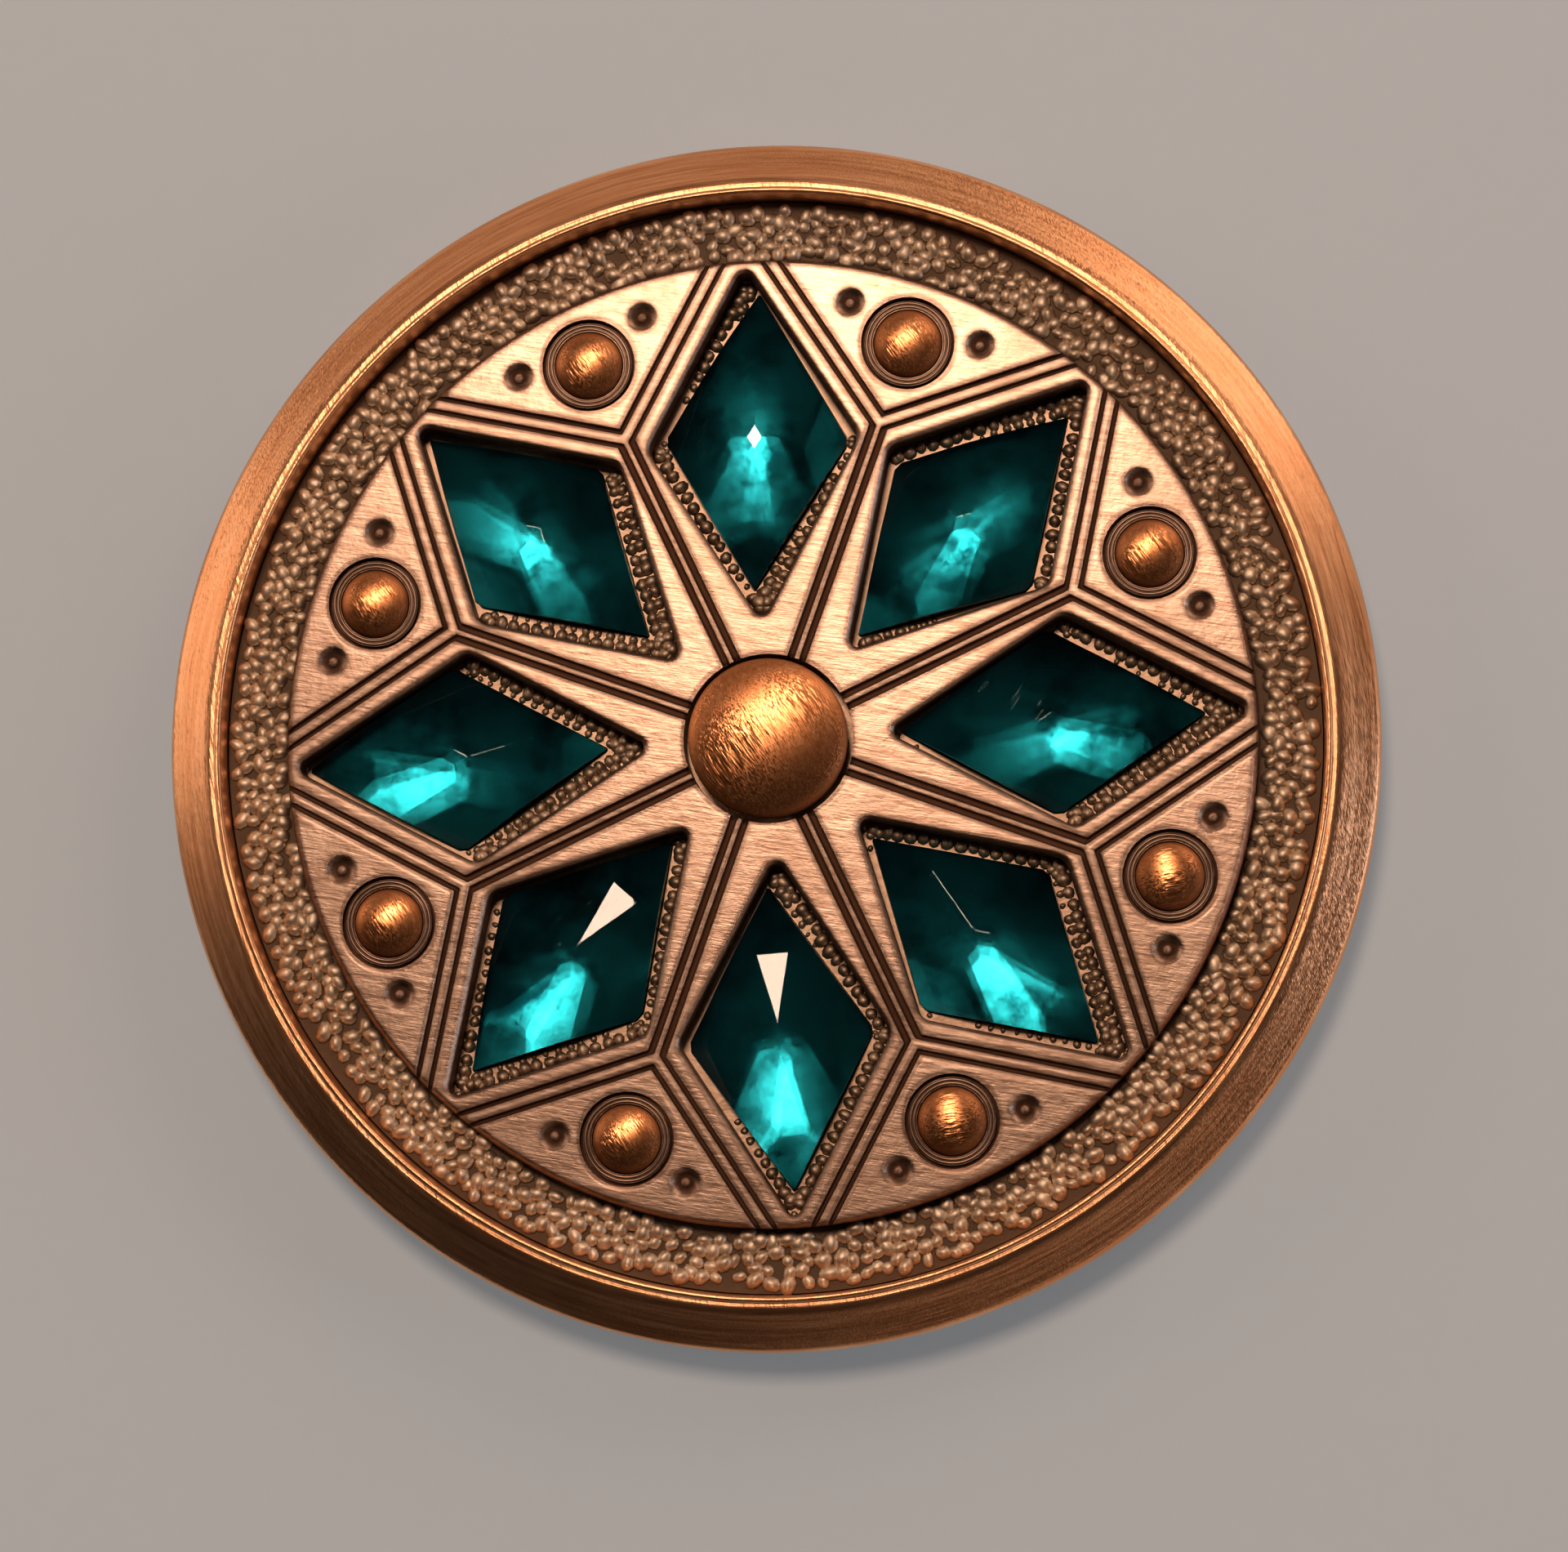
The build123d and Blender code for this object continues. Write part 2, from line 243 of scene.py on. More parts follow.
@dataclass(frozen=True)
class MetalFinish:
    """A worked metal with patina and painted shade in its low places."""

    name: str
    bright: Colour
    deep: Colour
    # The patina colour and the heights where it comes in stand for real patina and for painted shade in
    # hollows.
    patina_and_shade: Colour
    grain: Grain
    patina_and_shade_from: float
    patina_and_shade_full: float
    roughness: float = 0.36
    lines: float = 9.0
    line_length: float = 3.0
    line_depth: float = 0.0035
    pit_depth: float = 0.004
    stain: float = 0.35
    edge_radius: float = 0.0
    stroke: float = 0.0
    spread: float = 0.0
    flatten: float = 0.0

    def _lines(self, graph: NodeGraph, place: Signal) -> Signal:
        """Give the height of the tool marks, from 0 to 1.

        Args:
            graph: The material's graph.
            place: The point on the piece, in metres.

        Returns:
            The marks as a signal.
        """
        fine = MM / self.lines
        long = self.line_length * MM
        way = math.radians(self.stroke)
        if self.grain is Grain.STRAIGHT:
            vector = graph.stretched(place, (long, fine, fine), way)
            coarse = graph.stretched(place, (long * 2.2, fine * 3.1, fine * 3.1), way + 0.05)
            return graph.noise(vector, 1.0, 3.0, 0.7) * 0.6 + graph.noise(coarse, 1.0, 2.0) * 0.4
        if self.grain is Grain.CAST:
            lumps = graph.noise(place, LUMPS_A_METRE, 3.0, 0.6)
            return lumps * 0.6 + graph.noise(place, SAND_A_METRE, 2.0, 0.6) * 0.4
        x = graph.node("ShaderNodeSeparateXYZ", {}, {0: place})
        y = x.beside("Y")
        z = x.beside("Z")
        radius = (x * x + y * y).root().most(0.02 * MM)
        swing = 20.0 / self.line_length
        parts = {0: x / radius * swing, 1: y / radius * swing, 2: (radius + z * 0.7) / fine}
        circles = graph.noise(graph.node("ShaderNodeCombineXYZ", {}, parts), 1.0, 3.0, 0.7)
        if self.grain is Grain.ROUND:
            return circles
        slant = graph.stretched(place, (long, fine * 1.4, fine * 1.4), way + 0.12)
        level = graph.stretched(place, (long * 0.8, fine * 1.2, fine * 1.2), way - 0.2)
        crossed = graph.noise(slant, 1.0, 3.0, 0.65) * 0.45 + graph.noise(level, 1.0, 3.0, 0.65) * 0.35
        return circles * 0.2 + crossed

    def _spread(self, graph: NodeGraph, place: Signal, normal: Signal) -> Signal:
        """Lean a normal at random across the rubbing and upwards, which draws highlights out.

        Args:
            graph: The material's graph.
            place: The point on the piece, in metres.
            normal: The normal before.

        Returns:
            The normal after.
        """
        fine = 0.5 * MM / self.lines
        way = math.radians(self.stroke)
        marks = graph.noise(graph.stretched(place, (self.line_length * MM, fine, fine), way), 1.0, 3.0, 0.7)
        across = (-math.sin(way), math.cos(way), 0.0)
        lean = (marks - 0.5) * (self.spread * SPREAD_GAIN)
        leaned = graph.vector("MULTIPLY_ADD", {0: lean, 1: across, 2: normal})
        raised = graph.vector("ADD", {0: leaned, 1: (0.0, 0.0, self.flatten)})
        return graph.vector("NORMALIZE", {0: raised})

    def material(self) -> bpy.types.Material:
        """Build the material: worked metal, bright on top, dark in its low places from patina and painted
        shade.
        """
        graph = SurfaceGraph(self.name)
        place = graph.place()
        z = graph.node("ShaderNodeSeparateXYZ", {}, {0: place}, "Z")
        lines = self._lines(graph, place)
        cloud = graph.noise(place, CLOUDS_A_METRE, 4.0, 0.6)
        speck = graph.noise(place, SPECKS_A_METRE, 3.0, 0.65)
        # Patina and painted shade: the surface is darkened towards the patina colour between two given
        # heights, for most finishes in the low places.
        low = (z + (speck - 0.5) * (0.10 * MM)).ramp(self.patina_and_shade_from * MM, self.patina_and_shade_full * MM)
        stain = ((cloud * 0.7 + speck * 0.3).ramp(0.42, 0.68)) * self.stain
        tone = graph.mix(lines.ramp(0.30, 0.72), self.deep, self.bright)
        worn = graph.mix(stain, tone, self.deep)
        base = graph.mix(low, worn, self.patina_and_shade)
        rough = self.roughness + (lines - 0.5) * 0.16 + low * 0.22 + stain * 0.10
        height = lines * self.line_depth + speck * self.pit_depth
        bump = graph.bump(height, self.edge_radius)
        if self.spread:
            bump = self._spread(graph, place, bump)
        return graph.finish({"Base Color": base, "Roughness": rough, "Metallic": 1.0, "Normal": bump})


@dataclass(frozen=True)
class GlassFinish:
    """The clear tinted glass of a stone's crown."""

    name: str = "teal_glass"
    tint: Colour = (0.40, 0.88, 0.95, 1.0)
    cloudy: Colour = (0.30, 0.80, 0.86, 1.0)
    ior: float = 1.53
    edge_radius: float = 0.035
    haze_a_metre: float = 1500.0
    ripples_a_metre: float = 700.0
    ripple_depth: float = 0.0015
    scratch: tuple[float, float, float] = (1.6, 0.02, 0.4)
    scratch_turn: float = 0.9
    scratch_depth: float = 0.0004

    def material(self) -> bpy.types.Material:
        """Build the material: polished glass with faint rubbing."""
        graph = SurfaceGraph(self.name)
        place = graph.place()
        haze = graph.noise(place, self.haze_a_metre, 4.0, 0.6)
        ripple = graph.noise(place, self.ripples_a_metre, 1.0)
        size = [part * MM for part in self.scratch]
        scratch = graph.noise(graph.stretched(place, size, self.scratch_turn), 1.0, 2.0)
        rough = haze.ramp(0.60, 0.85) * 0.03 + scratch.ramp(0.70, 0.82) * 0.06
        height = ripple * self.ripple_depth + scratch.ramp(0.66, 0.80) * self.scratch_depth
        base = graph.mix(haze.ramp(0.3, 0.8) * 0.4, self.tint, self.cloudy)
        bump = graph.bump(height, self.edge_radius)
        values = {"Base Color": base, "Roughness": rough, "Normal": bump}
        return graph.finish({**values, "IOR": self.ior, "Transmission Weight": 1.0})


@dataclass(frozen=True)
class FoilFinish:
    """The coloured mirror foil behind a stone."""

    name: str = "teal_foil"
    bright: Colour = (0.026, 0.31, 0.36, 1.0)
    deep: Colour = (0.001, 0.04, 0.052, 1.0)
    roughness: float = 0.16
    wave_depth: float = 0.006
    clouds_a_metre: float = 420.0
    waves_a_metre: float = 900.0

    def material(self) -> bpy.types.Material:
        """Build the material: a clouded, slightly wavy mirror."""
        graph = SurfaceGraph(self.name)
        place = graph.place()
        cloud = graph.noise(place, self.clouds_a_metre, 4.0, 0.6)
        wave = graph.noise(place, self.waves_a_metre)
        base = graph.mix(cloud.ramp(0.28, 0.58), self.deep, self.bright)
        rough = self.roughness + cloud * 0.05
        bump = graph.bump(wave * self.wave_depth)
        return graph.finish({"Base Color": base, "Roughness": rough, "Metallic": 1.0, "Normal": bump})


# Mesh work


def heading(lean: float, azimuth: float) -> Vector:
    """Give the direction at an angle from the zenith and an azimuth, in degrees."""
    tilt, turn = math.radians(lean), math.radians(azimuth)
    return Vector((math.sin(tilt) * math.cos(turn), math.sin(tilt) * math.sin(turn), math.cos(tilt)))


def new_object(name: str, mesh: bpy.types.Mesh) -> bpy.types.Object:
    """Put a mesh into the scene as an object at the origin."""
    made = bpy.data.objects.new(name, mesh)
    bpy.context.scene.collection.objects.link(made)
    return made


def finish_mesh(built: bmesh.types.BMesh, name: str, sharp: float) -> bpy.types.Mesh:
    """Turn a bmesh into a mesh that is smooth but for its sharp edges.

    Args:
        built: The bmesh, which is freed.
        name: The mesh's name.
        sharp: The angle between faces, in degrees, above which an edge stays sharp.

    Returns:
        The mesh.
    """
    for face in built.faces:
        face.smooth = True
    limit = math.radians(sharp)
    for edge in built.edges:
        edge.smooth = len(edge.link_faces) == 2 and edge.calc_face_angle(0.0) < limit
    mesh = bpy.data.meshes.new(name)
    built.to_mesh(mesh)
    built.free()
    return mesh


def arc(centre: Point, radius: float, start: float, end: float, steps: int) -> list[Point]:
    """List points on an arc of a profile, in millimetres and degrees."""
    turns = [math.radians(start + (end - start) * k / steps) for k in range(steps + 1)]
    return [(centre[0] + radius * math.cos(t), centre[1] + radius * math.sin(t)) for t in turns]


def turned(name: str, sections: Sequence[Sequence[Point]], sharp: float = 35.0) -> bpy.types.Mesh:
    """Turn a closed section about Z, with a section of its own for every step.

    Args:
        name: The mesh's name.
        sections: Radius and height of each point of each step's section, in millimetres.
        sharp: The angle above which an edge stays sharp.

    Returns:
        A closed mesh in metres.
    """
    built = bmesh.new()
    rings = []
    for step, section in enumerate(sections):
        turn = 2.0 * math.pi * step / len(sections)
        c, s = math.cos(turn) * MM, math.sin(turn) * MM
        rings.append([built.verts.new((r * c, r * s, z * MM)) for r, z in section])
    radii = [point[0] for point in sections[0]]
    for step, near in enumerate(rings):
        far = rings[(step + 1) % len(rings)]
        for k, radius in enumerate(radii):
            nxt = (k + 1) % len(radii)
            if radius > ON_AXIS or radii[nxt] > ON_AXIS:
                built.faces.new((near[k], near[nxt], far[nxt], far[k]))
    bmesh.ops.remove_doubles(built, verts=built.verts, dist=WELD)
    bmesh.ops.dissolve_degenerate(built, edges=built.edges, dist=WELD)
    bmesh.ops.recalc_face_normals(built, faces=built.faces)
    return finish_mesh(built, name, sharp)


def dress(
    piece: bpy.types.Object, materials: Sequence[bpy.types.Material], nodes: Sequence[str] = ()
) -> None:
    """Give a piece its materials and body, and hide the nodes that it stands for.

    Args:
        piece: The finished piece.
        materials: The piece's materials, in the order of its faces' numbers.
        nodes: The CAD nodes that it replaces.
    """
    for material in materials:
        piece.data.materials.append(material)
    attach(piece, BODY)
    if nodes:
        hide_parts(*nodes)
    piece.data.calc_loop_triangles()
    log.info("%s: %d triangles", piece.name, len(piece.data.loop_triangles))


# Shared sizes


@dataclass(frozen=True)
class Layout:
    """Radii and levels of the concho that several pieces share, in millimetres."""

    points: int = 8
    well_radius: float = 9.862
    star_radius: float = 16.012
    channel_radius: float = 18.162
    ring_radius: float = 20.012
    well_floor: float = 1.85
    channel_floor: float = 2.25
    star_top: float = 3.10
    ring_top: float = 3.40


LAYOUT = Layout()


# Pieces


@dataclass
class OuterRing:
    """The copper ring with its bead, the fine line beside it and a rounded outer edge."""

    bead_width: float = 0.24
    bead_rise: float = 0.12
    line_width: float = 0.10
    line_depth: float = 0.007
    line_flat: float = 0.55
    line_lip: float = 0.004
    land_width: float = 0.15
    top_drop: float = 0.76
    dip: float = 0.012
    edge_radius: float = 0.30
    foot: float = 0.25
    ledge_width: float = 0.90
    ledge_height: float = 0.75
    inner_break: float = 1.6
    outer_break: float = 1.4
    foot_bevel: float = 0.3
    segments: int = 320

    def profile(self) -> list[Point]:
        """List the ring's section, going round it once."""
        inner, outer, top = LAYOUT.channel_radius, LAYOUT.ring_radius, LAYOUT.ring_top
        bead_out = inner + self.bead_width
        half = self.bead_width / 2.0
        crest = arc((inner + half, top + self.bead_rise - half), half, 180.0, 0.0, 10)
        slope = math.atan2(self.top_drop, outer - bead_out)
        centre = outer - self.edge_radius
        edge_low = top - (centre - bead_out) * math.tan(slope) - self.edge_radius / math.cos(slope)
        edge = arc((centre, edge_low), self.edge_radius, 90.0 - math.degrees(slope), 0.0, 9)
        land = (bead_out + self.land_width, top)
        run, drop = edge[0][0] - land[0], edge[0][1] - land[1]
        fall = [
            (land[0] + run * share, land[1] + drop * share - self.dip * math.sin(math.pi * share) ** 2)
            for share in (0.2, 0.4, 0.6, 0.8)
        ]
        return [
            (inner - self.ledge_width, 0.0),
            (inner - self.ledge_width, self.ledge_height),
            (inner, self.ledge_height),
            (inner, self.inner_break),
            *crest,
            (bead_out, top - self.line_depth),
            (bead_out + self.line_width * self.line_flat, top - self.line_depth),
            (bead_out + self.line_width, top - self.line_lip),
            land,
            *fall,
            *edge,
            (outer, self.outer_break),
            (outer, self.foot),
            (outer - self.foot * self.foot_bevel, self.foot * self.foot_bevel),
            (outer - self.foot, 0.0),
        ]

    def build(self, finish: MetalFinish) -> None:
        """Build the ring and dress it."""
        piece = new_object("copper_ring", turned("copper_ring", [self.profile()] * self.segments))
        dress(piece, [finish.material()], ["outer_ring"])


@dataclass
class RoundCap:
    """A domed cap with a short skirt, as the centre dome and the studs are."""

    name: str
    node: str
    radius: float
    height: float
    shoulder: float
    segments: int
    steps: int
    dent: float = 0.006
    waves: Point = (2100.0, 1800.0)
    shifts: Point = (1.3, 0.4)
    smooth_foot: float = 0.1
    bevel: float = 0.04

    def profile(self, bottom: float, top: float) -> list[Point]:
        """List the cap's section from its bottom to its top: skirt, round shoulder, flatter cap."""
        foot = top - self.height
        inset = self.radius - self.shoulder
        curve = (inset ** 2 + self.height ** 2 - self.shoulder ** 2) / (2.0 * (self.height - self.shoulder))
        bend = math.degrees(math.atan2(curve - self.height, inset))
        side = arc((inset, foot), self.shoulder, 0.0, bend, self.steps // 2)
        cap = arc((0.0, top - curve), curve, bend, 90.0, self.steps)
        start = [(0.0, bottom), (self.radius - self.bevel, bottom), (self.radius, bottom + self.bevel)]
        return [*start, *side, *cap[1:-1], (0.0, top)]

    def build(self, material: bpy.types.Material) -> None:
        """Build the cap where its node is and dress it."""
        low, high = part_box(self.node)
        skirt = high.z / MM - self.height
        mesh = turned(self.name, [self.profile(low.z / MM, high.z / MM)] * self.segments, 50.0)
        centre = (low + high) / 2.0
        for vertex in mesh.vertices:
            wave = math.sin(vertex.co.x * self.waves[0] + self.shifts[0])
            wave *= math.sin(vertex.co.y * self.waves[1] + self.shifts[1])
            if vertex.co.z > (skirt + self.smooth_foot) * MM:
                vertex.co.z -= self.dent * MM * (0.5 + 0.5 * wave)
            vertex.co.x += centre.x
            vertex.co.y += centre.y
        dress(new_object(self.name, mesh), [material], [self.node])


@dataclass
class StarPlate:
    """The pale bronze star plate with its wells, lines, recesses and dimples."""

    sharp: float = 24.0

    def build(self, finish: MetalFinish) -> None:
        """Copy the node's mesh, join its loose triangles and dress it."""
        built = bmesh.new()
        built.from_mesh(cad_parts["star_plate"].data)
        bmesh.ops.remove_doubles(built, verts=built.verts, dist=2.0 * WELD)
        piece = new_object("star_relief", finish_mesh(built, "star_relief", self.sharp))
        dress(piece, [finish.material()], ["star_plate"])


@dataclass
class StudCollars:
    """The turned beads on the sunk land round each stud, all in one piece."""

    inner: float = 1.18
    bead_widths: tuple[float, ...] = (0.11, 0.12)
    bead_gap: float = 0.004
    foot: float = 2.98
    crest: float = 3.075
    sharp: float = 40.0
    segments: int = 72

    def profile(self) -> list[Point]:
        """List the collar's section, going round it once."""
        points = [(self.inner, self.foot)]
        start = self.inner
        for width in self.bead_widths:
            half = width / 2.0
            points += arc((start + half, self.crest - half), half, 180.0, 0.0, 6)
            start += width + self.bead_gap
        points.append((start, self.foot))
        return points

    def build(self, material: bpy.types.Material) -> None:
        """Build a collar round each stud, join them and dress the piece."""
        built = bmesh.new()
        ring = turned("collar", [self.profile()] * self.segments, self.sharp)
        for index in range(LAYOUT.points):
            low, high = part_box(f"stud_{index + 1}")
            centre = (low + high) / 2.0
            known = len(built.verts)
            built.from_mesh(ring)
            built.verts.ensure_lookup_table()
            bmesh.ops.translate(built, verts=built.verts[known:], vec=(centre.x, centre.y, 0.0))
        bpy.data.meshes.remove(ring)
        piece = new_object("stud_collars", finish_mesh(built, "stud_collars", self.sharp))
        dress(piece, [material])


@dataclass
class StoneCut:
    """The cut of the lozenge stones, in millimetres and degrees."""

    length: float = 10.0
    width: float = 6.14
    tip_blunt: float = 0.05
    corner_blunt: float = 0.10
    crown: float = 0.48
    girdle: float = 0.62
    pavilion: float = 0.68
    long_start: float = 0.50
    line_reach: float = 2.78
    line_width: float = 1.04
    corner_start: float = 0.80
    upper_slope: float = 11.3
    tip_slope: float = 13.5
    corner_slope: float = 21.0
    foil_curve: Point = (0.0122, 0.0205)
    foil_ridge: float = 0.019
    foil_step: Point = (0.40, 0.30)
    faces_down: float = -0.99
    faces_up: float = 0.1

    def crown_facets(self) -> list[tuple[float, float, float, float]]:
        """List each crown facet as azimuth, reach, level and slope."""
        half_length, half_width = self.length / 2.0, self.width / 2.0
        slant = math.hypot(half_length, half_width)
        across, along = half_width / slant, half_length / slant
        side_reach = half_length * across
        turn = math.degrees(math.atan2(half_length, half_width))
        rise = math.tan(math.radians(self.upper_slope))
        line_level = rise * (side_reach - self.line_reach * across - self.line_width / 2.0 * along)
        start_level = rise * (side_reach - self.long_start * across)
        corner_level = rise * (side_reach - self.corner_start * along)
        long_slope = math.degrees(math.atan2(start_level - line_level, self.line_reach - self.long_start))
        sides = (turn, 180.0 - turn, 180.0 + turn, -turn)
        found = [(azimuth, side_reach, 0.0, self.upper_slope) for azimuth in sides]
        for end in (0.0, 180.0):
            found.append((end, self.line_reach, line_level, long_slope))
            found.append((end, self.line_reach, line_level, self.tip_slope))
            found.append((end + 90.0, self.corner_start, corner_level, self.corner_slope))
        return found

    def foil_level(self, x: float, y: float) -> float:
        """Give the height of the dished foil: a shallow bowl with a faint long ridge."""
        low = self.foil_ridge ** 2 / (4.0 * self.foil_curve[1])
        return self.foil_curve[0] * x * x + self.foil_curve[1] * y * y - self.foil_ridge * abs(y) + low

    def dish(self, built: bmesh.types.BMesh, bottom: float) -> None:
        """Cut the flat bottom, at a level in millimetres, into a fine grid and dish it."""
        for axis, size in enumerate((self.length, self.width)):
            step = self.foil_step[axis]
            count = int(size / 2.0 / step)
            for line in range(-count, count + 1):
                flat = [face for face in built.faces if face.normal.z < self.faces_down]
                edges = {edge for face in flat for edge in face.edges}
                corners = {corner for face in flat for corner in face.verts}
                point, normal = Vector((0.0, 0.0, 0.0)), Vector((0.0, 0.0, 0.0))
                point[axis], normal[axis] = line * step * MM, 1.0
                shape = [*corners, *edges, *flat]
                bmesh.ops.bisect_plane(built, geom=shape, dist=CUT_SNAP, plane_co=point, plane_no=normal)
        for corner in built.verts:
            if corner.co.z < (bottom + 1e-4) * MM:
                corner.co.z += self.foil_level(corner.co.x / MM, corner.co.y / MM) * MM

    def blank(self) -> list[Point]:
        """List the outline of the uncut stone."""
        tip, corner = self.length / 2.0 - self.tip_blunt, self.width / 2.0 - self.corner_blunt
        tip_side = self.tip_blunt * self.width / self.length
        corner_side = self.corner_blunt * self.length / self.width
        half = [(tip, tip_side), (corner_side, corner), (-corner_side, corner), (-tip, tip_side)]
        return [*half, *[(-x, -y) for x, y in half]]

    def cut(self, name: str, place: Matrix) -> bpy.types.Mesh:
        """Cut one stone.

        Args:
            name: The mesh's name.
            place: Where the stone lies, in metres, its long axis on X and its girdle's top at zero.

        Returns:
            A closed mesh whose faces at and below the girdle have the second material.
        """
        built = bmesh.new()
        bottom, top = -self.girdle - self.pavilion, self.crown
        lower = [built.verts.new((x * MM, y * MM, bottom * MM)) for x, y in self.blank()]
        upper = [built.verts.new((x * MM, y * MM, top * MM)) for x, y in self.blank()]
        built.faces.new(list(reversed(lower)))
        built.faces.new(upper)
        for k, low in enumerate(lower):
            nxt = (k + 1) % len(lower)
            built.faces.new((low, lower[nxt], upper[nxt], upper[k]))
        for azimuth, reach, level, slope in self.crown_facets():
            turn = math.radians(azimuth)
            normal = heading(slope, azimuth)
            point = Vector((reach * math.cos(turn), reach * math.sin(turn), level)) * MM
            shape = [*built.verts, *built.edges, *built.faces]
            done = bmesh.ops.bisect_plane(
                built, geom=shape, dist=CUT_SNAP, plane_co=point, plane_no=normal, clear_outer=True
            )
            rim = [item for item in done["geom_cut"] if isinstance(item, bmesh.types.BMEdge)]
            if rim:
                bmesh.ops.holes_fill(built, edges=rim, sides=0)
        bmesh.ops.remove_doubles(built, verts=built.verts, dist=WELD)
        bmesh.ops.recalc_face_normals(built, faces=built.faces)
        self.dish(built, bottom)
        built.normal_update()
        for face in built.faces:
            face.material_index = 1 if face.normal.z < self.faces_up else 0
        bmesh.ops.transform(built, matrix=place, verts=built.verts)
        return finish_mesh(built, name, 4.0)


@dataclass
class Stones:
    """The eight stones in their wells."""

    cut: StoneCut

    def place(self, node: str) -> Matrix:
        """Find where a stone lies, in metres, from the corners of its CAD node."""
        corners = np.array([vertex.co[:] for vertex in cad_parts[node].data.vertices])
        plan = np.unique(np.round(corners[:, :2], 8), axis=0)
        centre = plan.mean(0)
        values, axes = np.linalg.eigh(np.cov((plan - centre).T))
        long = axes[:, int(np.argmax(values))]
        if long @ centre < 0.0:
            long = -long
        turn = Matrix.Rotation(math.atan2(long[1], long[0]), 4, "Z")
        level = corners[:, 2].max() - self.cut.crown * MM
        return Matrix.Translation((centre[0], centre[1], level)) @ turn

    def build(self, glass: bpy.types.Material, foil: bpy.types.Material) -> None:
        """Cut, place and dress each stone."""
        for index in range(LAYOUT.points):
            node = f"stone_{index + 1}"
            mesh = self.cut.cut(f"lozenge_{index + 1}", self.place(node))
            dress(new_object(f"lozenge_{index + 1}", mesh), [glass, foil], [node])


